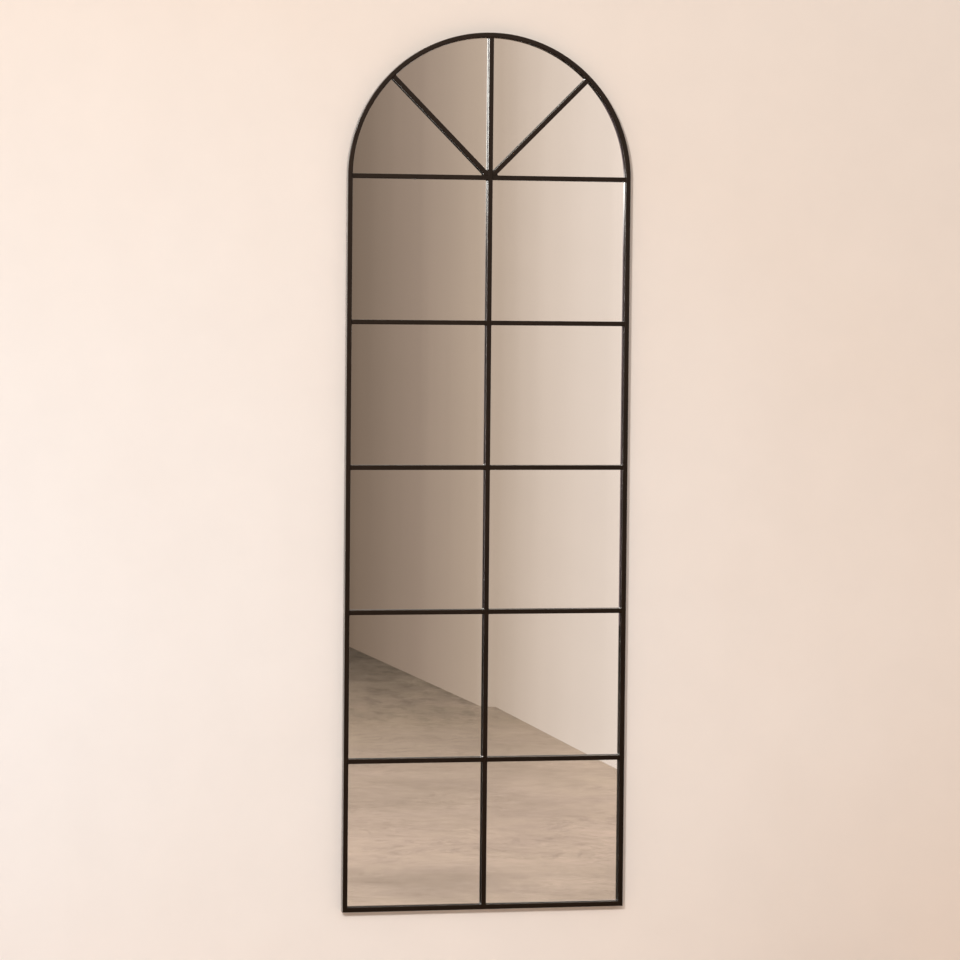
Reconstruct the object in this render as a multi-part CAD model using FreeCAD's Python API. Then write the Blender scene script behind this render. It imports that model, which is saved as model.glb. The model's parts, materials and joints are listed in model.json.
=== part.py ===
"""Arched window mirror for a wall: a welded steel frame and grid in front of one pane.

Millimetres, +Z up, the front looks along -Y. The origin is midway between the two keyhole
hangers, on the plane of the frame's back.
"""

import FreeCAD
import Part
import math
import os

# Outline
overall_width = 590.0
overall_height = 1800.0

# Outer frame, rectangular tube set on edge
frame_width = 10.0
frame_wall = 1.2
frame_inner_corner = 0.3

# Grid bars, square tube flush with the front of the frame
bar_width = 9.5
bar_depth = 9.5
bar_wall = 1.0
bar_inner_corner = 0.2
upper_pitch = 296.5  # between cross bars, counted down from the spring line
upper_panes = 3
lower_pitch = 305.25
fan_angle = 45.0
weld_gap = 0.1  # a bar stops this short of a frame face that may be curved

# Sheets behind the grid
glass_thickness = 4.0
silver_thickness = 0.2
board_thickness = 3.0
edge_gap = 1.0  # from the sheets' edges to the frame

# Setting blocks under the sheets
block_length = 40.0
block_spread = 330.0

# Offset clips that hold the board
clip_sheet = 1.0
clip_width = 12.0
clip_inset = 1.0  # from the frame's outer edge to the clip's
clip_foot = 13.0
clip_gap = 0.3
clip_hole_radius = 1.7
arch_clip_angles = (36.0, 72.0, 108.0, 144.0)
rail_clip_spread = 280.0

# Pan-head screws of the clips
screw_radius = 1.4
screw_length = 7.0
screw_hole_clearance = 0.15
head_radius = 2.8
head_height = 1.7
head_edge = 0.5
recess_width = 0.7
recess_length = 3.2
recess_depth = 0.9

# Keyhole hangers
hanger_drop = 105.0  # from the spring line down to the entry holes
plate_width = 26.0
plate_height = 50.0
plate_thickness = 2.0
plate_corner = 3.0
plate_clearance = 1.3  # in front of the plate, to the board
keyhole_radius = 5.0
keyhole_slot_radius = 2.4
keyhole_drop = 12.0  # from the entry hole up to the seat of the screw
pocket_radius = 7.5  # slot in the board for the head of the wall screw

# Wall bumpers
bumper_radius = 4.0
bumper_thickness = 3.0
bumper_edge = 0.6
bumper_height = 40.0
bumper_arch_angle = 60.0

# Sizes that follow
outer_radius = overall_width / 2
inner_radius = outer_radius - frame_width
middle_radius = outer_radius - frame_width / 2
half_bar = bar_width / 2
spring_height = overall_height - outer_radius
hanger_height = spring_height - hanger_drop
sheets_depth = glass_thickness + silver_thickness + board_thickness
frame_depth = bar_depth + sheets_depth + plate_clearance + plate_thickness
front = -frame_depth
glass_front = front + bar_depth
silver_front = glass_front + glass_thickness
board_front = silver_front + silver_thickness
board_back = board_front + board_thickness
sheet_radius = inner_radius - edge_gap
sheet_bottom = frame_width + edge_gap
keyhole_x = inner_radius - plate_width / 2
across = FreeCAD.Vector(0, 1, 0)  # the direction from front to back


def level(height):
    """The z of a height that is counted from the bottom edge."""
    return height - hanger_height


def at(x, y, z):
    return FreeCAD.Vector(x, y, z)


def turned(shape, angle, x, z):
    """A copy turned about Y, which carries +Z towards +X, and then moved to x, z."""
    copy = shape.copy()
    copy.rotate(at(0, 0, 0), across, angle)
    copy.translate(at(x, 0, z))
    return copy


def mirrored(shape):
    """The same piece on the other side of the mirror's middle plane."""
    return shape.mirror(at(0, 0, 0), at(1, 0, 0))


def prism(points, start, length, direction):
    """A closed outline of flat points, pushed along direction from start."""
    wire = Part.makePolygon(points + points[:1])
    solid = Part.Face(wire).extrude(direction * length)
    solid.translate(direction * start)
    return solid


def rounded_wire(half_width, near, far, radius):
    """A rectangle with round corners in the XY plane, its sides near and far along Y."""
    left, right = -half_width, half_width
    corners = ((right, near, -90), (right, far, 0), (left, far, 90), (left, near, 180))
    edges = []
    ends = []
    for x, y, angle in corners:
        centre_x = x - math.copysign(radius, x)
        centre_y = y + radius if y == near else y - radius
        points = []
        for step in (0, 45, 90):
            turn = math.radians(angle + step)
            points.append(at(centre_x + radius * math.cos(turn),
                             centre_y + radius * math.sin(turn), 0))
        edges.append(Part.Arc(*points).toShape())
        ends.append((points[0], points[-1]))
    for i, (_, leave) in enumerate(ends):
        arrive = ends[(i + 1) % len(ends)][0]
        edges.append(Part.LineSegment(leave, arrive).toShape())
    return Part.Wire(Part.__sortEdges__(edges))


def tube_section(width, depth, wall, inner_corner):
    """The cut face of a tube whose front lies in the frame's front plane."""
    outer = rounded_wire(width / 2, front, front + depth, wall + inner_corner)
    inner = rounded_wire(width / 2 - wall, front + wall, front + depth - wall, inner_corner)
    return Part.Face(outer).cut(Part.Face(inner))


def frame_section():
    return tube_section(frame_width, frame_depth, frame_wall, frame_inner_corner)


def bar_tube(length):
    """A grid bar that stands on z = 0."""
    section = tube_section(bar_width, bar_depth, bar_wall, bar_inner_corner)
    return section.extrude(at(0, 0, length))


def drill(x, z, radius, start, length):
    """A round cutter from front to back."""
    return Part.makeCylinder(radius, length, at(x, start, z), across)


def transom_heights():
    """Heights of the cross bars' middle lines, from the lowest to the spring line."""
    heights = [spring_height - i * upper_pitch for i in range(upper_panes + 1)]
    heights.append(heights[-1] - lower_pitch)
    return sorted(heights)


def clip_places():
    """Where each clip sits: a point of the frame's inner edge and the turn that faces in.

    The clips of the uprights sit behind the cross bars, where the glass is pressed on to them.
    """
    places = []
    for height in transom_heights()[:-1]:
        places.append((-inner_radius, level(height), 0.0))
        places.append((inner_radius, level(height), 180.0))
    for angle in arch_clip_angles:
        x = inner_radius * math.cos(math.radians(angle))
        z = level(spring_height) + inner_radius * math.sin(math.radians(angle))
        places.append((x, z, 180.0 - angle))
    for side in (-1, 1):
        places.append((side * rail_clip_spread / 2, level(frame_width), -90.0))
    return places


def screw_holes():
    """Cutters for the clip screws, through the rear wall of the frame tube."""
    radius = screw_radius + screw_hole_clearance
    hole = drill(-frame_width / 2, 0, radius, -frame_wall * 2, frame_wall * 3)
    return Part.makeCompound([turned(hole, turn, x, z) for x, z, turn in clip_places()])


def mitre(x, z):
    """The wedge between the outer corner of the frame's foot and one more corner."""
    outer = at(-outer_radius, 0, level(0))
    inner = at(-inner_radius, 0, level(frame_width))
    return prism([outer, inner, at(x, 0, z)], front, frame_depth, across)


def make_stile():
    tube = frame_section().extrude(at(0, 0, spring_height))
    tube.translate(at(-middle_radius, 0, level(0)))
    return tube.cut(mitre(-inner_radius, level(0))).cut(screw_holes())


def make_bottom_rail():
    tube = frame_section().extrude(at(0, 0, overall_width))
    tube = turned(tube, 90, -outer_radius, level(frame_width / 2))
    wedge = mitre(-outer_radius, level(frame_width))
    return tube.cut(wedge).cut(mirrored(wedge)).cut(screw_holes())


def make_arch_bow():
    section = frame_section()
    section.translate(at(middle_radius, 0, 0))
    bow = section.revolve(at(0, 0, 0), -across, 180)
    bow.translate(at(0, 0, level(spring_height)))
    return bow.cut(screw_holes())


def make_mullion():
    bar = bar_tube(spring_height + inner_radius - weld_gap - frame_width)
    bar.translate(at(0, 0, level(frame_width)))
    return bar


def make_transom(height):
    """The right half of a cross bar, from the mullion to the stile."""
    bar = bar_tube(inner_radius - weld_gap - half_bar)
    return turned(bar, 90, half_bar, level(height))


def make_fan_bar():
    """The right slanting bar: its foot fills the corner of mullion and top cross bar."""
    bar = turned(bar_tube(inner_radius - weld_gap), fan_angle, 0, 0)
    corner = Part.makeBox(inner_radius, frame_depth, inner_radius, at(half_bar, front, half_bar))
    bar = bar.common(corner)
    bar.translate(at(0, 0, level(spring_height)))
    return bar


def arched_sheet(start, thickness):
    """A flat sheet with the shape of the frame's opening, less the gap at its edges."""
    foot = level(sheet_bottom)
    spring = level(spring_height)
    left, right = at(-sheet_radius, start, foot), at(sheet_radius, start, foot)
    left_spring = at(-sheet_radius, start, spring)
    right_spring = at(sheet_radius, start, spring)
    crown = at(0, start, spring + sheet_radius)
    edges = [
        Part.LineSegment(left, right).toShape(),
        Part.LineSegment(right, right_spring).toShape(),
        Part.Arc(right_spring, crown, left_spring).toShape(),
        Part.LineSegment(left_spring, left).toShape(),
    ]
    return Part.Face(Part.Wire(edges)).extrude(across * thickness)


def keyhole_slot(radius, start, length):
    """A round-ended cutter from the right keyhole's entry up to the seat of its screw."""
    entry = drill(keyhole_x, 0, radius, start, length)
    seat = drill(keyhole_x, keyhole_drop, radius, start, length)
    corner = at(keyhole_x - radius, start, 0)
    return entry.fuse(seat).fuse(Part.makeBox(2 * radius, length, keyhole_drop, corner))


def make_backing_board():
    pocket = keyhole_slot(pocket_radius, board_front, board_thickness)
    board = arched_sheet(board_front, board_thickness)
    return board.cut(pocket).cut(mirrored(pocket))


def make_setting_blocks():
    depth = board_back - glass_front
    blocks = []
    for side in (-1, 1):
        x = side * block_spread / 2 - block_length / 2
        corner = at(x, glass_front, level(frame_width))
        blocks.append(Part.makeBox(block_length, depth, edge_gap, corner))
    return Part.makeCompound(blocks)


def make_clip():
    """One stepped clip at the origin: its seat is on the frame's back, its foot points to +X."""
    foot_end = clip_gap + clip_foot
    step = clip_gap + clip_sheet
    foot_back = board_back + clip_sheet
    seat_end = clip_inset - frame_width
    points = [
        at(seat_end, 0, 0),
        at(clip_gap, 0, 0),
        at(clip_gap, board_back, 0),
        at(foot_end, board_back, 0),
        at(foot_end, foot_back, 0),
        at(step, foot_back, 0),
        at(step, clip_sheet, 0),
        at(seat_end, clip_sheet, 0),
    ]
    clip = prism(points, -clip_width / 2, clip_width, at(0, 0, 1))
    return clip.cut(drill(-frame_width / 2, 0, clip_hole_radius, 0, clip_sheet))


def make_screw():
    """One screw for a clip at the origin, with a cross recess in its head."""
    x = -frame_width / 2
    head = drill(x, 0, head_radius, clip_sheet, head_height)
    rim = [e for e in head.Edges if e.BoundBox.YMin > clip_sheet + head_height / 2]
    head = head.makeFillet(head_edge, [e for e in rim if e.Closed and len(e.Vertexes) == 1])
    screw = head.fuse(drill(x, 0, screw_radius, clip_sheet - screw_length, screw_length))
    for length, height in ((recess_length, recess_width), (recess_width, recess_length)):
        corner = at(x - length / 2, clip_sheet + head_height - recess_depth, -height / 2)
        screw = screw.cut(Part.makeBox(length, recess_depth, height, corner))
    return screw


def at_each_clip(piece):
    return Part.makeCompound([turned(piece, turn, x, z) for x, z, turn in clip_places()])


def make_hanger():
    """The right keyhole plate, welded by its edge to the inside of the stile."""
    left = inner_radius - plate_width
    base = -plate_height / 2 + keyhole_drop / 2
    corner = at(left, -plate_thickness, base)
    plate = Part.makeBox(plate_width, plate_thickness, plate_height, corner)
    free_corners = []
    for edge in plate.Edges:
        box = edge.BoundBox
        if box.XMax < left + plate_width / 2 and box.XLength + box.ZLength < plate_thickness / 2:
            free_corners.append(edge)
    plate = plate.makeFillet(plate_corner, free_corners)
    entry = drill(keyhole_x, 0, keyhole_radius, -plate_thickness, plate_thickness)
    return plate.cut(entry).cut(keyhole_slot(keyhole_slot_radius, -plate_thickness, plate_thickness))


def make_bumper(x, z):
    bumper = drill(x, z, bumper_radius, 0, bumper_thickness)
    rear = [e for e in bumper.Edges if e.BoundBox.YMin > bumper_thickness / 2]
    return bumper.makeChamfer(bumper_edge, [e for e in rear if len(e.Vertexes) == 1])


def make_wall_bumpers():
    angle = math.radians(bumper_arch_angle)
    arch_x = middle_radius * math.cos(angle)
    arch_z = level(spring_height) + middle_radius * math.sin(angle)
    places = []
    for side in (-1, 1):
        places.append((side * middle_radius, level(bumper_height)))
        places.append((side * arch_x, arch_z))
    return Part.makeCompound([make_bumper(x, z) for x, z in places])


def make_all():
    stile = make_stile()
    fan_bar = make_fan_bar()
    hanger = make_hanger()
    nodes = {
        "left_stile": stile,
        "right_stile": mirrored(stile),
        "arch_bow": make_arch_bow(),
        "bottom_rail": make_bottom_rail(),
        "mullion": make_mullion(),
        "fan_bar_left": mirrored(fan_bar),
        "fan_bar_right": fan_bar,
        "mirror_pane": arched_sheet(glass_front, glass_thickness),
        "silver_layer": arched_sheet(silver_front, silver_thickness),
        "backing_board": make_backing_board(),
        "setting_blocks": make_setting_blocks(),
        "board_clips": at_each_clip(make_clip()),
        "clip_screws": at_each_clip(make_screw()),
        "hanger_left": mirrored(hanger),
        "hanger_right": hanger,
        "wall_bumpers": make_wall_bumpers(),
    }
    for number, height in enumerate(transom_heights(), start=1):
        transom = make_transom(height)
        nodes[f"transom_{number}_left"] = mirrored(transom)
        nodes[f"transom_{number}_right"] = transom
    return nodes


os.makedirs("parts", exist_ok=True)
for name, shape in make_all().items():
    shape.exportStep(f"parts/{name}.step")
    print(f"{name}: {len(shape.Solids)} solids, {shape.Volume / 1000:.2f} cm3, valid {shape.isValid()}")
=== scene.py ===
import json
import math
import random

import bmesh
import bpy
from mathutils import Matrix, Vector


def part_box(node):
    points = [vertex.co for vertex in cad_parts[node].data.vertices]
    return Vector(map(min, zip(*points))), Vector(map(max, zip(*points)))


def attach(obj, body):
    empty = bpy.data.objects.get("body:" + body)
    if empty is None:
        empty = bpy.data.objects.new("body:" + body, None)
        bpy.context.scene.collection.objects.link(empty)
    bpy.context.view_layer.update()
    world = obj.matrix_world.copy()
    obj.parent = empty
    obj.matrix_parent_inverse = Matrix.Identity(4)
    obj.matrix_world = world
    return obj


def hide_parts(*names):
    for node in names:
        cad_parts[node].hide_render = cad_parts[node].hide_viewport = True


# Looks of the arched window mirror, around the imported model: metres, +Z up, the front looks
# along -Y, and the wall is the plane y = WALL_PLANE.

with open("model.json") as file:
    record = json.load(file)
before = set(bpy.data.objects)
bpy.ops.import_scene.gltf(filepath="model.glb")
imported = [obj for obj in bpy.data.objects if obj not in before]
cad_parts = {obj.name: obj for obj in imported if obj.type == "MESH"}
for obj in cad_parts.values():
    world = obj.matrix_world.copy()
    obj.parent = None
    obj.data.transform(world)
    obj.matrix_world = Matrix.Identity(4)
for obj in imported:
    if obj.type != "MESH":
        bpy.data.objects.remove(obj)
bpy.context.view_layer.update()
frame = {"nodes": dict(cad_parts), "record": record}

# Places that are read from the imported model
STILE_LOW, STILE_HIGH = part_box("right_stile")
BAR_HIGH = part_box("mullion")[1]
OUTER_RADIUS = STILE_HIGH.x
INNER_RADIUS = STILE_LOW.x
FRONT = STILE_LOW.y
FRAME_BACK = STILE_HIGH.y
BOTTOM = STILE_LOW.z
SPRING = STILE_HIGH.z
RAIL_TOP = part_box("bottom_rail")[1].z
HALF_BAR = BAR_HIGH.x
BAR_BACK = BAR_HIGH.y
BAR_REACH = math.sqrt(INNER_RADIUS ** 2 - HALF_BAR ** 2)  # from the hub to the bow, along a bar's side
WALL_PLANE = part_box("wall_bumpers")[1].y
FLOOR_DROP = 0.2
FLOOR_LEVEL = BOTTOM - FLOOR_DROP

# Camera, solved from the edges of the bars in the photograph
CAMERA_PLACE = (-1.5574, -7.4880, -0.1348)
CAMERA_YAW = 0.2035050
CAMERA_PITCH = -0.0496003
CAMERA_ROLL = 0.0093508
CAMERA_LENS_MM = 139.68
CAMERA_SENSOR_MM = 36.0

# Pieces
SHARP_ANGLE = math.radians(50)
TUBE_CORNER = 0.0015
CORNER_STEPS = 4
BOW_STEPS = 160
SILVER_OVERLAP = 0.00005  # how far the face of the silver lies inside the glass
SEAT_INSET = 0.00008  # air between the glass and the pieces under it

# Weld beads in the corners between the bars
TRANSOM_COUNT = 5
SLANT = math.sqrt(0.5)  # what one metre along a fan bar covers in x, and in z
BEAD_LEG = 0.0017
HUB_BEAD_LEG = 0.0050
BEAD_STATIONS = 12
BEAD_RIPPLE = 0.14
BEAD_START = 0.55  # share of the leg at the front end
BEAD_GROWTH = 3.0  # added to that share over a bead's length, until the leg is full
BEAD_FACE = ((0.62, 0.22), (0.36, 0.36), (0.22, 0.62))  # the hollow face, in shares of the two legs
BEAD_FRONT_GAP = 0.0009
BEAD_EMBED = 0.0002
WELD_SEED = 8

# Light
AMBIENT = 0.366
GLOSS_COLOUR = (1.0, 0.95, 0.9)
GLOSS_SLOPES = (-0.10, 0.08)
GLOSS_STRENGTHS = (0.05, 0.55)
BACKDROP = (0.88, 0.80, 0.73)
KEY_PLACE = (-2.54, -5.9, 1.55)
KEY_SIZE = 0.5
KEY_POWER = 216.0
FILL_PLACE = (-0.6, -6.6, 2.6)
FILL_SIZE = 2.6
FILL_POWER = 80.0
REAR_PLACES = ((-2.6, 4.2, 1.4), (3.2, 3.8, 0.6))
REAR_SIZE = 2.4
REAR_POWER = 95.0
LAMP_AIM = (0.0, 0.0, -0.5)


# --- shader helpers ---------------------------------------------------------------------------

NOISE_SPAN = (0.3, 0.7)  # most values of a noise lie between these
MIX_FIRST, MIX_SECOND, MIX_RESULT = 6, 7, 2  # the colour sockets of a Mix node


def with_alpha(colour):
    """A plain colour gets its fourth value; a socket stays as it is."""
    return colour if isinstance(colour, bpy.types.NodeSocket) else (*colour, 1.0)


class ShaderTree:
    """The nodes of a material or of the world."""

    def __init__(self, owner, output):
        owner.use_nodes = True
        self.owner = owner
        self.nodes = owner.node_tree.nodes
        self.links = owner.node_tree.links
        self.nodes.clear()
        self.output = self.nodes.new("ShaderNode" + output)

    def add(self, kind, inputs=None, **settings):
        """A new node. Its inputs are set or linked by name, or by number where names repeat."""
        node = self.nodes.new("ShaderNode" + kind)
        for key, value in settings.items():
            setattr(node, key, value)
        for key, value in (inputs or {}).items():
            if isinstance(value, bpy.types.NodeSocket):
                self.links.new(value, node.inputs[key])
            else:
                node.inputs[key].default_value = value
        return node

    def finish(self, surface):
        self.links.new(surface, self.output.inputs["Surface"])
        return self.owner

    def place(self):
        """The point that is shaded, in the frame of its object."""
        return self.add("TexCoord").outputs["Object"]

    def stretched(self, point, scale):
        return self.add("Mapping", {"Vector": point, "Scale": scale}).outputs["Vector"]

    def part(self, point, axis):
        return self.add("SeparateXYZ", {"Vector": point}).outputs[axis]

    def distance(self, point, centre, scale=(1.0, 1.0, 1.0)):
        """How far point is from centre, with each axis stretched by scale."""
        offset = self.add("VectorMath", {0: point, 1: centre}, operation="SUBTRACT").outputs["Vector"]
        offset = self.add("VectorMath", {0: offset, 1: scale}, operation="MULTIPLY").outputs["Vector"]
        return self.add("VectorMath", {0: offset}, operation="LENGTH").outputs["Value"]

    def noise(self, point, scale, detail, roughness=0.5, distortion=0.0):
        inputs = {"Vector": point, "Scale": scale, "Detail": detail, "Roughness": roughness,
                  "Distortion": distortion}
        return self.add("TexNoise", inputs).outputs["Fac"]

    def math(self, operation, first, second=0.0):
        return self.add("Math", {0: first, 1: second}, operation=operation).outputs["Value"]

    def ranged(self, value, span, result=(0.0, 1.0)):
        """value, carried from span over to result and held at its ends."""
        inputs = {"Value": value, "From Min": span[0], "From Max": span[1],
                  "To Min": result[0], "To Max": result[1]}
        return self.add("MapRange", inputs).outputs["Result"]

    def spread(self, noise, low=0.0, high=1.0):
        """A noise that fills the range from low to high."""
        return self.ranged(noise, NOISE_SPAN, (low, high))

    def mixed(self, share, first, second):
        """A colour between first and second."""
        inputs = {"Factor": share, MIX_FIRST: with_alpha(first), MIX_SECOND: with_alpha(second)}
        return self.add("Mix", inputs, data_type="RGBA").outputs[MIX_RESULT]

    def tinted(self, colour, share):
        """colour times a grey share, which darkens or lightens it."""
        inputs = {"Factor": 1.0, MIX_FIRST: colour, MIX_SECOND: share}
        return self.add("Mix", inputs, data_type="RGBA", blend_type="MULTIPLY").outputs[MIX_RESULT]

    def ramp(self, value, stops):
        """The colours of stops, each given with the value that it belongs to, and between them."""
        start, end = stops[0][0], stops[-1][0]
        node = self.add("ValToRGB", {"Fac": self.ranged(value, (start, end))})
        elements = node.color_ramp.elements
        elements.remove(elements[-1])
        for number, (place, colour) in enumerate(stops):
            share = (place - start) / (end - start)
            element = elements[0] if number == 0 else elements.new(share)
            element.position = share
            element.color = with_alpha(colour)
        return node.outputs["Color"]

    def bump(self, height, distance, strength, normal=None):
        inputs = {"Height": height, "Distance": distance, "Strength": strength}
        if normal is not None:
            inputs["Normal"] = normal
        return self.add("Bump", inputs).outputs["Normal"]

    def ray(self, fact):
        """What is known of the ray: 1 where it is of the kind named, or a count of bounces."""
        return self.add("LightPath").outputs[fact]

    def met_from_behind(self):
        return self.add("NewGeometry").outputs["Backfacing"]

    def blended(self, share, first, second):
        """The surface first, or second where share is 1."""
        return self.add("MixShader", {0: share, 1: first, 2: second}).outputs["Shader"]

    def see_through(self, share, surface):
        """surface, and nothing where share is 1."""
        return self.blended(share, surface, self.add("BsdfTransparent").outputs["BSDF"])

    def glow(self, colour, strength):
        """A glow that is seen, but is not a lamp."""
        self.owner.cycles.emission_sampling = "NONE"
        return self.add("Emission", {"Color": colour, "Strength": strength}).outputs["Emission"]

    def background(self, colour, strength):
        inputs = {"Color": with_alpha(colour), "Strength": strength}
        return self.add("Background", inputs).outputs["Background"]


def material_tree(name):
    return ShaderTree(bpy.data.materials.new(name), "OutputMaterial")


# --- materials of the mirror ------------------------------------------------------------------

COAT_DARK = (0.0085, 0.0036, 0.0014)
COAT_LIGHT = (0.0125, 0.0056, 0.0024)
COAT_SPECK = (0.034, 0.021, 0.013)
COAT_SHINE_TINT = (1.0, 0.72, 0.52, 1.0)
GLASS_CLEAR, GLASS_CLEARER = (0.955, 0.972, 0.962), (0.965, 0.978, 0.969)
SILVER_DARK, SILVER_LIGHT = (0.925, 0.92, 0.905), (0.945, 0.94, 0.925)
BOARD_DARK, BOARD_LIGHT = (0.15, 0.078, 0.038), (0.30, 0.175, 0.092)
BOARD_CLOUD = (0.21, 0.125, 0.07)
BOARD_FLECK = (0.07, 0.04, 0.022)
ZINC_GREY, ZINC_YELLOW = (0.60, 0.60, 0.585), (0.70, 0.685, 0.63)
RUBBER_BLACK, RUBBER_DUST = (0.020, 0.020, 0.020), (0.045, 0.043, 0.041)


def powder_coat():
    """Dark brown-black satin powder coat with a fine orange peel."""
    tree = material_tree("powder_coat")
    point = tree.place()
    cloud = tree.noise(point, scale=14.0, detail=4.0)
    speck = tree.noise(point, scale=420.0, detail=2.0)
    rub = tree.noise(tree.stretched(point, (1.0, 1.0, 0.35)), scale=60.0, detail=5.0, roughness=0.6)
    colour = tree.mixed(tree.spread(cloud), COAT_DARK, COAT_LIGHT)
    colour = tree.mixed(tree.ranged(speck, (0.62, 0.78), (0.0, 0.5)), colour, COAT_SPECK)
    peel = tree.noise(point, scale=900.0, detail=2.0)
    dimple = tree.noise(point, scale=160.0, detail=2.0)
    normal = tree.bump(peel, distance=0.00002, strength=0.6)
    normal = tree.bump(dimple, distance=0.00003, strength=0.5, normal=normal)
    shader = tree.add("BsdfPrincipled", {
        "Base Color": colour, "Roughness": tree.spread(rub, 0.34, 0.46), "Normal": normal,
        "Specular IOR Level": 0.25, "Specular Tint": COAT_SHINE_TINT,
        "Coat Weight": 1.0, "Coat Roughness": 0.19, "Coat IOR": 1.3, "Coat Normal": normal})
    return tree.finish(shader.outputs["BSDF"])


def clear_glass():
    """Polished float glass. Light goes straight through it, so that it casts no shadow."""
    tree = material_tree("float_glass")
    haze = tree.noise(tree.place(), scale=6.0, detail=3.0)
    glass = tree.add("BsdfPrincipled", {
        "Base Color": tree.mixed(haze, GLASS_CLEAR, GLASS_CLEARER), "Roughness": 0.0, "IOR": 1.52,
        "Transmission Weight": 1.0})
    return tree.finish(tree.see_through(tree.ray("Is Shadow Ray"), glass.outputs["BSDF"]))


def silvering():
    """Silver coat on the rear of the glass."""
    tree = material_tree("silver_coat")
    point = tree.place()
    cloud = tree.noise(point, scale=5.0, detail=3.0)
    haze = tree.noise(point, scale=18.0, detail=4.0)
    shader = tree.add("BsdfPrincipled", {
        "Base Color": tree.mixed(cloud, SILVER_DARK, SILVER_LIGHT), "Metallic": 1.0,
        "Roughness": tree.spread(haze, 0.004, 0.008)})
    return tree.finish(shader.outputs["BSDF"])


def hardboard():
    """Raw brown hardboard with the print of the screen that it was pressed on."""
    tree = material_tree("hardboard")
    point = tree.place()
    fibre = tree.noise(tree.stretched(point, (1.0, 1.0, 0.3)), scale=120.0, detail=6.0, roughness=0.65)
    cloud = tree.noise(point, scale=5.0, detail=4.0)
    fleck = tree.noise(point, scale=800.0, detail=2.0)
    colour = tree.mixed(tree.spread(fibre), BOARD_DARK, BOARD_LIGHT)
    colour = tree.mixed(tree.ranged(cloud, (0.35, 0.7), (0.0, 0.35)), colour, BOARD_CLOUD)
    colour = tree.mixed(tree.ranged(fleck, (0.66, 0.74), (0.0, 0.7)), colour, BOARD_FLECK)
    screen = tree.add("TexVoronoi", {"Vector": point, "Scale": 520.0, "Randomness": 0.25})
    fuzz = tree.bump(fibre, distance=0.00015, strength=0.5)
    normal = tree.bump(screen.outputs["Distance"], distance=0.0001, strength=0.5, normal=fuzz)
    shader = tree.add("BsdfPrincipled", {
        "Base Color": colour, "Normal": normal, "Specular IOR Level": 0.3,
        "Roughness": tree.spread(fibre, 0.66, 0.86)})
    return tree.finish(shader.outputs["BSDF"])


def zinc_steel():
    """Bright zinc plate with a rolled grain and a faint yellow passivation."""
    tree = material_tree("zinc_plate")
    point = tree.place()
    grain = tree.noise(tree.stretched(point, (1.0, 1.0, 14.0)), scale=260.0, detail=4.0, roughness=0.6)
    cloud = tree.noise(point, scale=70.0, detail=3.0)
    shader = tree.add("BsdfPrincipled", {
        "Base Color": tree.mixed(tree.ranged(cloud, (0.35, 0.65)), ZINC_GREY, ZINC_YELLOW),
        "Metallic": 1.0, "Normal": tree.bump(grain, distance=0.00001, strength=0.5),
        "Roughness": tree.spread(grain, 0.26, 0.42)})
    return tree.finish(shader.outputs["BSDF"])


def black_rubber():
    """Matt black rubber with a little dust."""
    tree = material_tree("black_rubber")
    point = tree.place()
    dust = tree.noise(point, scale=90.0, detail=4.0, roughness=0.6)
    skin = tree.noise(point, scale=1500.0, detail=2.0)
    shader = tree.add("BsdfPrincipled", {
        "Base Color": tree.mixed(tree.ranged(dust, (0.4, 0.75)), RUBBER_BLACK, RUBBER_DUST),
        "Roughness": tree.spread(dust, 0.72, 0.88), "Specular IOR Level": 0.35,
        "Normal": tree.bump(skin, distance=0.00003, strength=0.6)})
    return tree.finish(shader.outputs["BSDF"])


# --- pieces -----------------------------------------------------------------------------------

def new_piece(name, mesh_data, material):
    """A mesh object that rides on the part and takes the material given."""
    mesh = bpy.data.meshes.new(name)
    mesh_data.to_mesh(mesh)
    mesh_data.free()
    mesh.materials.append(material)
    mesh.polygons.foreach_set("use_smooth", [True] * len(mesh.polygons))
    mesh.set_sharp_from_angle(angle=SHARP_ANGLE)
    piece = bpy.data.objects.new(name, mesh)
    bpy.context.scene.collection.objects.link(piece)
    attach(piece, "root")
    return piece


def arch_points(radius):
    """(x, z) along the half circle over the spring line, from the right to the left."""
    angles = [math.pi * step / BOW_STEPS for step in range(BOW_STEPS + 1)]
    return [(radius * math.cos(angle), SPRING + radius * math.sin(angle)) for angle in angles]


def join_rings(mesh_data, rings):
    """Skins rings that have the same number of vertices into a closed tube."""
    faces = [mesh_data.faces.new(reversed(rings[0])), mesh_data.faces.new(rings[-1])]
    for before, after in zip(rings, rings[1:]):
        for i in range(len(before)):
            j = (i + 1) % len(before)
            faces.append(mesh_data.faces.new((before[i], before[j], after[j], after[i])))
    bmesh.ops.recalc_face_normals(mesh_data, faces=faces)


def tube_outline():
    """(distance out from the middle line, y) round the frame tube, corner by corner."""
    half = (OUTER_RADIUS - INNER_RADIUS) / 2 - TUBE_CORNER
    near, far = FRONT + TUBE_CORNER, FRAME_BACK - TUBE_CORNER
    outline = []
    for out, y, start in ((half, near, -90), (half, far, 0), (-half, far, 90), (-half, near, 180)):
        for step in range(CORNER_STEPS + 1):
            angle = math.radians(start + 90 * step / CORNER_STEPS)
            outline.append((out + TUBE_CORNER * math.cos(angle), y + TUBE_CORNER * math.sin(angle)))
    return outline


def make_bow(material):
    """The half-round head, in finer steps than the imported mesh."""
    middle = (OUTER_RADIUS + INNER_RADIUS) / 2
    mesh_data = bmesh.new()
    lines = []
    for out, y in tube_outline():
        lines.append([mesh_data.verts.new((x, y, z)) for x, z in arch_points(middle + out)])
    join_rings(mesh_data, list(zip(*lines)))
    bow = new_piece("bow_tube", mesh_data, material)
    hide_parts("arch_bow")
    weighted = bow.modifiers.new("flat sides stay flat", "WEIGHTED_NORMAL")
    weighted.keep_sharp = True


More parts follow.
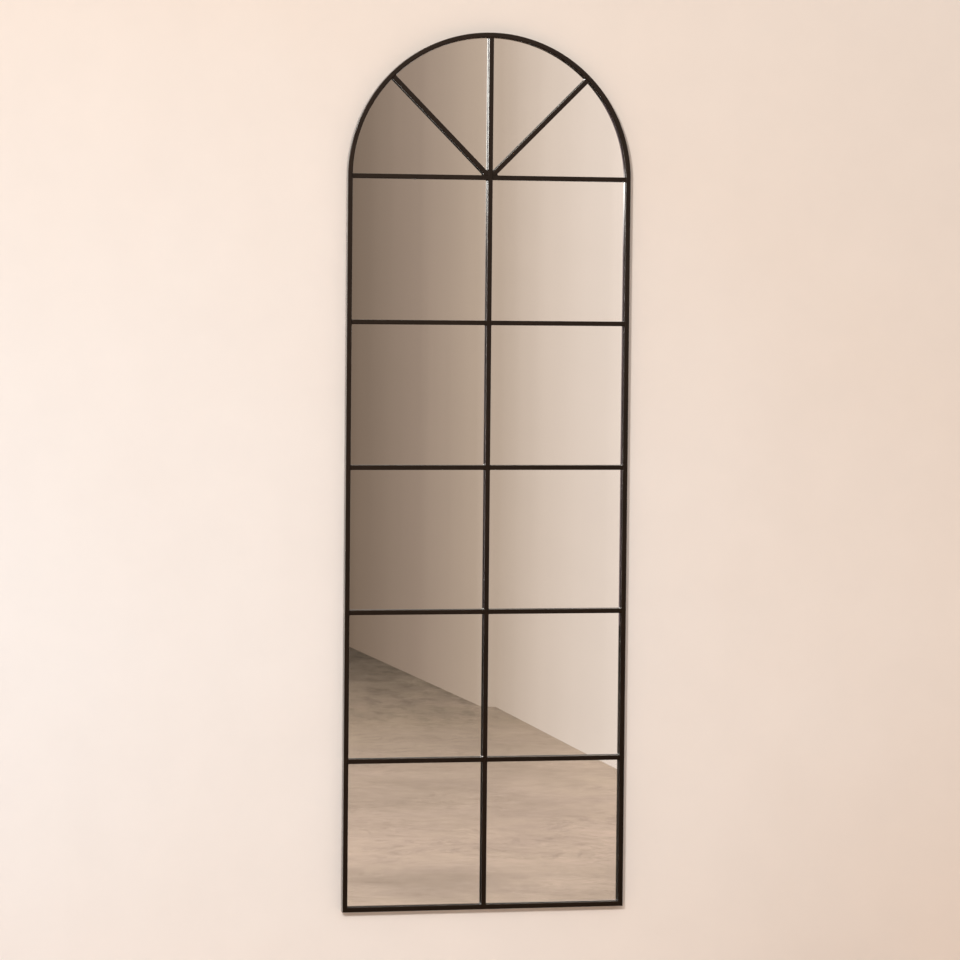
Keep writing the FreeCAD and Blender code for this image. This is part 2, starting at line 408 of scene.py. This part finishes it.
def make_silver(material):
    """The silver coat. Its face lies just inside the glass, so that the two never share a plane."""
    low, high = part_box("silver_layer")
    front = low.y - SILVER_OVERLAP
    outline = [(-high.x, low.z), (high.x, low.z), *arch_points(high.x)]
    mesh_data = bmesh.new()
    face = mesh_data.faces.new([mesh_data.verts.new((x, front, z)) for x, z in outline])
    pushed = bmesh.ops.extrude_face_region(mesh_data, geom=[face])
    moved = [item for item in pushed["geom"] if isinstance(item, bmesh.types.BMVert)]
    bmesh.ops.translate(mesh_data, verts=moved, vec=(0, high.y - front, 0))
    bmesh.ops.recalc_face_normals(mesh_data, faces=mesh_data.faces)
    silver = new_piece("silver_coat", mesh_data, material)
    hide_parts("silver_layer")


def make_glass_seat(material):
    """The setting blocks and a black strip that closes the rest of the gap below the glass, which also
    puts shade in that gap. Both stay just clear of the glass, so that its lower edge looks the same all
    along."""
    node = frame["nodes"]["setting_blocks"]
    low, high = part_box("setting_blocks")
    top = high.z - SEAT_INSET
    mesh_data = bmesh.new()
    mesh_data.from_mesh(node.data)
    mesh_data.transform(node.matrix_world)
    for vertex in mesh_data.verts:
        vertex.co.z = min(vertex.co.z, top)
    pads = new_piece("setting_pads", mesh_data, material)
    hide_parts("setting_blocks")
    # a black strip that also puts shade in the gap below the glass
    size = Vector((2 * INNER_RADIUS, high.y - low.y - 2 * SEAT_INSET, top - SEAT_INSET - low.z))
    centre = Vector((0, (low.y + high.y) / 2, low.z + size.z / 2))
    mesh_data = bmesh.new()
    bmesh.ops.create_cube(mesh_data, size=1.0)
    for vertex in mesh_data.verts:
        vertex.co = vertex.co * size + centre
    new_piece("glazing_shade_strip", mesh_data, material)


def add_bead(mesh_data, corner, along_a, along_b, leg, draw):
    """A weld bead in the corner at (x, z) between two faces that leave it along a and b."""
    start, end = FRONT + BEAD_FRONT_GAP, BAR_BACK
    embed_a, embed_b = Vector(along_a) * BEAD_EMBED, Vector(along_b) * BEAD_EMBED
    rings = []
    for station in range(BEAD_STATIONS + 1):
        share = station / BEAD_STATIONS
        taper = min(1.0, BEAD_START + BEAD_GROWTH * share)
        swell = leg * taper * (1 + BEAD_RIPPLE * (draw.random() - 0.5))
        a, b = Vector(along_a) * swell, Vector(along_b) * swell
        face = [a * share_a + b * share_b for share_a, share_b in BEAD_FACE]
        profile = [-embed_a - embed_b, a - embed_b, *face, b - embed_a]
        y = start + (end - start) * share
        rings.append([mesh_data.verts.new((corner[0] + offset.x, y, corner[1] + offset.y))
                      for offset in profile])
    join_rings(mesh_data, rings)


def transom_levels():
    """The z of each cross bar's middle line, from the lowest up."""
    levels = []
    for number in range(1, TRANSOM_COUNT + 1):
        low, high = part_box(f"transom_{number}_right")
        levels.append((low.z + high.z) / 2)
    return levels


def grid_corners(side):
    """Corners between the cross bars, the upright bar and the frame on one side of it. The fan
    bars take up the upper corner of the top cross bar and the upright bar."""
    corners = []
    levels = transom_levels()
    for level in levels:
        for up in (-1, 1):
            z = level + up * HALF_BAR
            corners.append(((side * INNER_RADIUS, z), (-side, 0), (0, up)))
            if not (level == levels[-1] and up == 1):
                corners.append(((side * HALF_BAR, z), (side, 0), (0, up)))
    corners.append(((side * HALF_BAR, RAIL_TOP), (side, 0), (0, 1)))
    corners.append(((side * HALF_BAR, SPRING + BAR_REACH), (side, 0), (0, -1)))
    for across in (-1, 1):
        x = side * (BAR_REACH + across * HALF_BAR) * SLANT
        z = SPRING + (BAR_REACH - across * HALF_BAR) * SLANT
        corners.append(((x, z), (-side * SLANT, -SLANT), (across * side * SLANT, -across * SLANT)))
    return corners


def hub_corners(side):
    """The sharp corners of the hub: slanting bar to upright bar, and to the top cross bar."""
    far = HALF_BAR * (1 + math.sqrt(2))
    return [
        ((side * HALF_BAR, SPRING + far), (0, 1), (side * SLANT, SLANT)),
        ((side * far, SPRING + HALF_BAR), (side, 0), (side * SLANT, SLANT)),
    ]


def make_welds(material):
    """Beads on each side of the upright bar, and round the hub."""
    draw = random.Random(WELD_SEED)
    for side, name in ((-1, "left"), (1, "right")):
        mesh_data = bmesh.new()
        for corner, along_a, along_b in grid_corners(side):
            add_bead(mesh_data, corner, along_a, along_b, BEAD_LEG, draw)
        new_piece(f"weld_beads_{name}", mesh_data, material)
    mesh_data = bmesh.new()
    for side in (-1, 1):
        for corner, along_a, along_b in hub_corners(side):
            add_bead(mesh_data, corner, along_a, along_b, HUB_BEAD_LEG, draw)
    new_piece("hub_welds", mesh_data, material)


def dress_nodes(materials):
    """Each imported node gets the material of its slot."""
    for subpart in frame["record"]["subparts"]:
        node = frame["nodes"][subpart["node"]]
        for material_slot in node.material_slots:
            material_slot.material = materials[subpart["material_slot"]]


# --- stage: the wall behind the mirror --------------------------------------------------------

WALL_HALF_WIDTH = 8.0
WALL_TOP = 5.0
# Painted shade: the wall's colour goes from the lit one near the light to a deeper, shaded one away
# from it
WALL_LIT = (0.922, 0.895, 0.873)
WALL_SHADED = (0.852, 0.741, 0.650)
WALL_LIT_CENTRE = (-2.172, WALL_PLANE, -0.946)
WALL_LIT_STRETCH = (1.0, 1.0, 2.1)
WALL_FADE = (0.76, 3.37)  # distances from the lit centre over which the wall gets deeper
# Painted shade towards the lower right corner of the wall
WALL_CORNER = (1.25, WALL_PLANE, -1.80)
WALL_CORNER_FADE = (0.2, 1.0)
WALL_CORNER_SHADE = 0.91


def wall_paint():
    """Warm plaster with painted shade: a little deeper away from the light, and a little darker towards
    the lower right; its back is see-through.
    """
    tree = material_tree("stage_plaster")
    point = tree.place()
    cloud = tree.noise(point, scale=1.3, detail=4.0, roughness=0.6)
    mottle = tree.noise(point, scale=7.0, detail=5.0, roughness=0.6)
    grain = tree.noise(point, scale=40.0, detail=5.0)
    # Painted shade, deeper away from the light
    away = tree.distance(point, WALL_LIT_CENTRE, WALL_LIT_STRETCH)
    share = tree.math("ADD", tree.ranged(away, WALL_FADE), tree.spread(cloud, -0.05, 0.05))
    colour = tree.mixed(share, WALL_LIT, WALL_SHADED)
    # Painted shade towards the lower right
    corner = tree.distance(point, WALL_CORNER)
    colour = tree.tinted(colour, tree.ranged(corner, WALL_CORNER_FADE, (WALL_CORNER_SHADE, 1.0)))
    colour = tree.tinted(colour, tree.spread(mottle, 0.988, 1.012))
    normal = tree.bump(grain, distance=0.0004, strength=0.3)
    shader = tree.add("BsdfDiffuse", {"Color": colour, "Normal": normal})
    hidden = tree.math("MAXIMUM", tree.met_from_behind(), tree.ray("Is Shadow Ray"))
    return tree.finish(tree.see_through(hidden, shader.outputs["BSDF"]))


# --- stage: the side wall that the mirror shows, a glowing sheet of painted light -------------

# x and y of the corners of its foot, from far to near
SIDE_WALL_FOOT = ((0.865, -12.0), (1.127, -5.48), (1.176, -5.46), (1.184, -4.20), (1.250, 0.0))
SIDE_WALL_TOP = 4.0
# Painted light: the glow of the side wall, darker away from the light
SIDE_WALL_LIGHT_STOPS = (
    # y, colour
    (-8.0, (0.184, 0.126, 0.088)),
    (-6.5, (0.358, 0.262, 0.203)),
    (-5.6, (0.528, 0.400, 0.313)),
    (-4.8, (0.756, 0.608, 0.513)),
    (-3.6, (0.955, 0.796, 0.704)),
)
# Painted light: the side wall's glow gets lighter upwards
SIDE_WALL_RISE = 2.6  # the height over which it gets lighter
SIDE_WALL_LIGHT_SHARES = (0.955, 1.03)  # of its colour, at the floor and at that height


def side_wall_glow():
    """A glow, not a lamp, that paints the light on the plaster: painted light that is darker away from
    the light and lighter upwards, with faint streaks from the top down.
    """
    tree = material_tree("stage_side_wall_glow")
    point = tree.place()
    streak = tree.noise(tree.stretched(point, (1.0, 1.0, 0.06)), scale=3.2, detail=4.0, roughness=0.55)
    cloud = tree.noise(tree.stretched(point, (1.0, 0.35, 2.0)), scale=1.6, detail=5.0, roughness=0.6)
    y = tree.math("ADD", tree.part(point, "Y"), tree.spread(streak, -0.04, 0.04))
    # painted light, darker away from the light
    colour = tree.ramp(y, SIDE_WALL_LIGHT_STOPS)
    colour = tree.tinted(colour, tree.spread(streak, 0.987, 1.013))
    colour = tree.tinted(colour, tree.spread(cloud, 0.985, 1.015))
    heights = (FLOOR_LEVEL, FLOOR_LEVEL + SIDE_WALL_RISE)
    colour = tree.tinted(colour, tree.ranged(tree.part(point, "Z"), heights, SIDE_WALL_LIGHT_SHARES))
    # a glow that stands in for the lit plaster; no lamp
    return tree.finish(tree.glow(colour, 1.0))


# --- stage: the floor -------------------------------------------------------------------------

FLOOR_HALF_WIDTH = 30.0
FLOOR_PLAIN = (0.621, 0.476, 0.392)
FLOOR_SEEN = (0.66, 0.58, 0.52)
FLOOR_SEEN_SHARE = 0.7
FLOOR_SEEN_FADE = (3.5, 9.0)  # distances from the mirror over which the camera loses the floor
FLOOR_FADE = (8.8, 15.0)  # and over which every other ray loses it
# Painted shade in the bars' reflections: a darker floor for light between a bar and the mirror
FLOOR_SHADE_BETWEEN_BARS = 0.12  # share of its colour for light between a bar and the mirror
BOUNCE_DEPTHS = (1.0, 2.0)  # glossy depths of the first reflection, and of one that follows it

# The corner of the floor that the mirror shows, with painted shade
CORNER_X = (-1.0, -0.1)
CORNER_Y = (-9.6, -8.2)
# Painted shade: the concrete gets darker away from the mirror
CORNER_SHADE_STOPS = (
    # y, colour
    (-5.0, (0.351, 0.261, 0.196)),
    (-2.2, (0.621, 0.476, 0.392)),
    (-1.5, (0.638, 0.500, 0.410)),
)
CORNER_OCHRE = (0.52, 0.42, 0.27)
# Painted shadows: soft patches, darker in the middle
CORNER_SHADES = (
    # centre x, y, half width, half length, share of the light that is left in its middle
    (1.10, -8.30, 1.20, 2.60, 0.42),
    (0.28, -3.15, 0.42, 0.50, 0.90),
    (0.18, -1.62, 0.22, 0.30, 0.80),
)
SHADE_EDGE = (0.4, 1.4)
SHADE_WARP = 0.12
SCRAPE_Y = (-4.6, -5.3)
SCRAPE_SHARES = (1.03, 0.84)
STROKES = ((5.0, 0.50, 0.84), (6.5, 0.56, 1.10))  # scale of the noise, its level, share of the colour
STROKE_LINE = (0.004, 0.022)
STROKE_PATCH = (0.47, 0.56)
STROKE_PATCH_SCALE = 0.4  # of the noise that breaks the strokes up, to that of their own

# Painted light along the foot of the side wall, and darker blotches close to it
FOOT_LIGHT_Y = (-3.0, -4.5)
FOOT_LIGHT_WIDTHS = (0.50, 0.22)
FOOT_LIGHT_EDGE = (0.2, 1.0)
FOOT_LIGHT_SHARE = 1.25
FOOT_DARK_WIDTH = 0.20
FOOT_DARK_Y = (-4.6, -5.6)
FOOT_DARK_SHARE = 0.76


def foot_gap(tree, point, y):
    """How far a point of the floor is from the foot of the side wall."""
    foot = SIDE_WALL_FOOT[0][0]
    for (far_x, far_y), (near_x, near_y) in zip(SIDE_WALL_FOOT, SIDE_WALL_FOOT[1:]):
        foot = tree.math("ADD", foot, tree.ranged(y, (far_y, near_y), (0.0, near_x - far_x)))
    return tree.math("SUBTRACT", foot, tree.part(point, "X"))


def foot_light(tree, point, y):
    """Painted light along the foot of the side wall, and darker blotches close to it: a share for the
    floor's colour.
    """
    gap = foot_gap(tree, point, y)
    # painted light, strongest close to the foot
    reach = tree.math("DIVIDE", gap, tree.ranged(y, FOOT_LIGHT_Y, FOOT_LIGHT_WIDTHS))
    lit = tree.ranged(reach, FOOT_LIGHT_EDGE, (FOOT_LIGHT_SHARE, 1.0))
    blotch = tree.noise(tree.stretched(point, (1.0, 0.4, 1.0)), scale=9.0, detail=5.0, roughness=0.7)
    blotch = tree.ranged(blotch, (0.44, 0.56))
    # darker blotches close to the foot
    foot_dark = tree.math("MULTIPLY", tree.ranged(gap, (0.0, FOOT_DARK_WIDTH), (1.0, 0.0)), blotch)
    foot_dark = tree.math("MULTIPLY", foot_dark, tree.ranged(y, FOOT_DARK_Y))
    return tree.math("MULTIPLY", lit, tree.ranged(foot_dark, (0.0, 1.0), (1.0, FOOT_DARK_SHARE)))


def scrape_marks(tree, point, y):
    """Darker scrapes in the far part of the floor: a share for its colour."""
    scrape = tree.noise(tree.stretched(point, (1.0, 0.38, 1.0)), scale=15.0, detail=4.0, roughness=0.65)
    scrape = tree.math("MULTIPLY", tree.ranged(scrape, (0.50, 0.62)), tree.ranged(y, SCRAPE_Y))
    return tree.ranged(scrape, (0.0, 1.0), SCRAPE_SHARES)


def trowel_stroke(tree, point, scale, level, share):
    """Thin curved strokes where a warped noise crosses level: a share for the floor's colour."""
    noise = tree.noise(point, scale, detail=5.0, roughness=0.6, distortion=1.4)
    off = tree.math("ABSOLUTE", tree.math("SUBTRACT", noise, level))
    line = tree.ranged(off, STROKE_LINE, (1.0, 0.0))
    patch = tree.ranged(tree.noise(point, scale * STROKE_PATCH_SCALE, detail=2.0), STROKE_PATCH)
    return tree.ranged(tree.math("MULTIPLY", line, patch), (0.0, 1.0), (1.0, share))


def corner_colour_and_shade(tree, point, y, cloud):
    """The dimmer concrete of the corner that the mirror shows, with painted shade: darker away from the
    mirror, with soft painted shadows and painted light along the foot of the side wall.
    """
    ochre = tree.ranged(tree.noise(point, scale=3.1, detail=4.0), (0.35, 0.65), (0.0, 0.10))
    colour = tree.mixed(ochre, tree.ramp(y, CORNER_SHADE_STOPS), CORNER_OCHRE)
    warp = tree.spread(cloud, -SHADE_WARP, SHADE_WARP)
    # painted shadows
    for centre_x, centre_y, half_width, half_length, least in CORNER_SHADES:
        centre = (centre_x, centre_y, FLOOR_LEVEL)
        away = tree.distance(point, centre, (1 / half_width, 1 / half_length, 1.0))
        away = tree.math("ADD", away, warp)
        colour = tree.tinted(colour, tree.ranged(away, SHADE_EDGE, (least, 1.0)))
    colour = tree.tinted(colour, foot_light(tree, point, y))
    colour = tree.tinted(colour, scrape_marks(tree, point, y))
    for scale, level, share in STROKES:
        colour = tree.tinted(colour, trowel_stroke(tree, point, scale, level, share))
    return colour


def floor_hidden(tree, point, y, seen):
    """1 where the floor is left out: far away, from below, and, in front of the wall, for light
    that a coat or the first face of the glass reflects. Light from the silver meets the floor,
    because it comes out through the glass."""
    sheen = tree.math("SUBTRACT", tree.ray("Is Glossy Ray"), tree.ray("Is Transmission Ray"))
    sheen = tree.math("MULTIPLY", sheen, tree.math("LESS_THAN", y, WALL_PLANE))
    away = tree.distance(point, (0.0, 0.0, FLOOR_LEVEL))
    faded = tree.math("MULTIPLY", seen, tree.ranged(away, FLOOR_SEEN_FADE))
    faded = tree.math("MAXIMUM", faded, tree.ranged(away, FLOOR_FADE))
    hidden = tree.math("MAXIMUM", sheen, faded)
    return tree.math("MAXIMUM", hidden, tree.met_from_behind())


def floor_paint():
    """Trowelled concrete. The corner that the mirror shows is dimmer, with painted shade, except to the
    eye, which sees a paler floor; light that bounces on between a bar and the mirror meets a darker
    one, painted shade in the bars' reflections."""
    tree = material_tree("stage_concrete")
    point = tree.place()
    x, y = tree.part(point, "X"), tree.part(point, "Y")
    seen = tree.ray("Is Camera Ray")
    cloud = tree.noise(point, scale=1.1, detail=6.0, roughness=0.62)
    stain = tree.noise(point, scale=4.5, detail=6.0, roughness=0.66)
    grain = tree.noise(point, scale=21.0, detail=5.0, roughness=0.65)
    corner = tree.math("MULTIPLY", tree.ranged(x, CORNER_X), tree.ranged(y, CORNER_Y))
    corner = tree.math("MULTIPLY", corner, tree.math("SUBTRACT", 1.0, seen))
    colour = tree.mixed(corner, FLOOR_PLAIN, corner_colour_and_shade(tree, point, y, cloud))
    colour = tree.tinted(colour, tree.spread(cloud, 0.94, 1.06))
    colour = tree.tinted(colour, tree.spread(stain, 0.92, 1.08))
    colour = tree.tinted(colour, tree.spread(grain, 0.93, 1.07))
    colour = tree.mixed(tree.math("MULTIPLY", seen, FLOOR_SEEN_SHARE), colour, FLOOR_SEEN)
    # painted shade in the bars' reflections
    bounced = tree.ranged(tree.ray("Glossy Depth"), BOUNCE_DEPTHS, (1.0, FLOOR_SHADE_BETWEEN_BARS))
    colour = tree.tinted(colour, bounced)
    normal = tree.bump(stain, distance=0.004, strength=0.3)
    shader = tree.add("BsdfDiffuse", {"Color": colour, "Normal": normal})
    return tree.finish(tree.see_through(floor_hidden(tree, point, y, seen), shader.outputs["BSDF"]))


# --- stage: the glowing card behind the camera, for painted highlights on the bars ------------

CARD_LEFT, CARD_RIGHT = (-2.8, -8.6), (-1.0, -8.6)
CARD_TOP = 2.4
CARD_LEVELS = (0.06, 0.36)  # heights over which the painted dark lower part gives way to the glowing window
# Painted shade below, and the colour and strength of the painted highlight above
CARD_SHADE = (0.20, 0.135, 0.15)
CARD_BRIGHT = (1.0, 0.95, 0.91)
CARD_GLOW = 3.8
CARD_DEPTH = 1.5  # light of a lower glossy depth doesn't meet it


def window_card_glow():
    """A glowing card, not a lamp, behind the camera, that paints the highlights on the sides of the
    bars: a bright window above a dark lower part, painted shade low down. It is met only by light that
    has bounced between a bar and the mirror, so it never shows in the mirror itself."""
    tree = material_tree("stage_glow_card")
    share = tree.ranged(tree.part(tree.place(), "Z"), CARD_LEVELS)
    colour = tree.mixed(share, CARD_SHADE, CARD_BRIGHT)
    window = tree.glow(colour, tree.ranged(share, (0.0, 1.0), (1.0, CARD_GLOW)))
    early = tree.math("LESS_THAN", tree.ray("Glossy Depth"), CARD_DEPTH)
    return tree.finish(tree.see_through(early, window))


# --- stage, lamps, world and camera -----------------------------------------------------------

def stage_sheet(name, corners, material):
    """A flat four-cornered piece of the stage, whose front has its corners anticlockwise."""
    mesh = bpy.data.meshes.new(name)
    mesh.from_pydata(corners, [], [(0, 1, 2, 3)])
    mesh.materials.append(material)
    sheet = bpy.data.objects.new(name, mesh)
    bpy.context.scene.collection.objects.link(sheet)
    return sheet


def standing_sheet(name, start, end, top, material):
    """A sheet that stands on the floor between two points, each an x and a y."""
    corners = [(*start, FLOOR_LEVEL), (*end, FLOOR_LEVEL), (*end, top), (*start, top)]
    return stage_sheet(name, corners, material)


def seen_only_by(sheet, *kinds):
    """The sheet is met only by these kinds of ray, and casts no shadow."""
    for kind in ("camera", "diffuse", "glossy", "transmission", "volume_scatter", "shadow"):
        setattr(sheet, "visible_" + kind, kind in kinds)


def make_stage():
    """The wall, the floor, the glowing side wall in its facets, and the glowing window card."""
    wall_left, wall_right = (-WALL_HALF_WIDTH, WALL_PLANE), (WALL_HALF_WIDTH, WALL_PLANE)
    standing_sheet("stage_wall", wall_left, wall_right, WALL_TOP, wall_paint())
    floor_corners = [(x * FLOOR_HALF_WIDTH, y * FLOOR_HALF_WIDTH, FLOOR_LEVEL)
                     for x, y in ((-1, -1), (1, -1), (1, 1), (-1, 1))]
    stage_sheet("stage_floor", floor_corners, floor_paint())
    side_glow = side_wall_glow()
    for number, (far, near) in enumerate(zip(SIDE_WALL_FOOT, SIDE_WALL_FOOT[1:]), start=1):
        side = standing_sheet(f"stage_side_wall_glow_{number}", far, near, SIDE_WALL_TOP, side_glow)
        seen_only_by(side, "transmission")
    # a glowing card that paints the highlights on the bars
    card = standing_sheet("stage_glow_card", CARD_LEFT, CARD_RIGHT, CARD_TOP, window_card_glow())
    seen_only_by(card, "glossy", "transmission")


def add_lamp(name, place, size, power):
    """A square lamp that the camera and the mirror don't show."""
    data = bpy.data.lights.new(name, "AREA")
    data.shape = "SQUARE"
    data.size = size
    data.energy = power
    lamp = bpy.data.objects.new(name, data)
    bpy.context.scene.collection.objects.link(lamp)
    lamp.location = place
    lamp.rotation_euler = (Vector(LAMP_AIM) - Vector(place)).to_track_quat("-Z", "Y").to_euler()
    lamp.visible_camera = False
    lamp.visible_transmission = False
    return lamp


def make_world():
    """Even soft light, with a pale backdrop where the camera or the mirror looks past the stage.
    Glossy surfaces see it brighter above the horizon, and towards the rear of the wall."""
    world = bpy.data.worlds.new("soft_room")
    bpy.context.scene.world = world
    tree = ShaderTree(world, "OutputWorld")
    direction = tree.add("TexCoord").outputs["Generated"]
    above = tree.ranged(tree.part(direction, "Z"), GLOSS_SLOPES, GLOSS_STRENGTHS)
    gloss = tree.math("MAXIMUM", above, tree.part(direction, "Y"))
    lit = tree.blended(tree.ray("Is Glossy Ray"), tree.background((1.0, 1.0, 1.0), AMBIENT),
                       tree.background(GLOSS_COLOUR, gloss))
    shown = tree.math("MAXIMUM", tree.ray("Is Camera Ray"), tree.ray("Is Transmission Ray"))
    tree.finish(tree.blended(shown, lit, tree.background(BACKDROP, 1.0)))


def make_camera():
    forward = Vector((math.sin(CAMERA_YAW) * math.cos(CAMERA_PITCH),
                      math.cos(CAMERA_YAW) * math.cos(CAMERA_PITCH),
                      math.sin(CAMERA_PITCH)))
    level_right = Vector((math.cos(CAMERA_YAW), -math.sin(CAMERA_YAW), 0.0))
    level_up = level_right.cross(forward)
    right = level_right * math.cos(CAMERA_ROLL) + level_up * math.sin(CAMERA_ROLL)
    up = level_up * math.cos(CAMERA_ROLL) - level_right * math.sin(CAMERA_ROLL)
    data = bpy.data.cameras.new("camera")
    data.lens = CAMERA_LENS_MM
    data.sensor_width = CAMERA_SENSOR_MM
    camera = bpy.data.objects.new("camera", data)
    bpy.context.scene.collection.objects.link(camera)
    turn = Matrix((right, up, -forward)).transposed().to_4x4()
    camera.matrix_world = Matrix.Translation(CAMERA_PLACE) @ turn
    bpy.context.scene.camera = camera


coat = powder_coat()
silver_paint = silvering()
rubber = black_rubber()
dress_nodes({
    "frame_paint": coat,
    "clear_glass": clear_glass(),
    "silvering": silver_paint,
    "hardboard": hardboard(),
    "zinc_steel": zinc_steel(),
    "black_rubber": rubber,
})
make_bow(coat)
make_silver(silver_paint)
make_glass_seat(rubber)
make_welds(coat)
make_stage()
make_world()
add_lamp("key_lamp", KEY_PLACE, KEY_SIZE, KEY_POWER)
add_lamp("fill_lamp", FILL_PLACE, FILL_SIZE, FILL_POWER).visible_glossy = False
for lamp_number, lamp_place in enumerate(REAR_PLACES, start=1):
    add_lamp(f"rear_lamp_{lamp_number}", lamp_place, REAR_SIZE, REAR_POWER)
make_camera()
bpy.context.scene.view_settings.view_transform = "Standard"
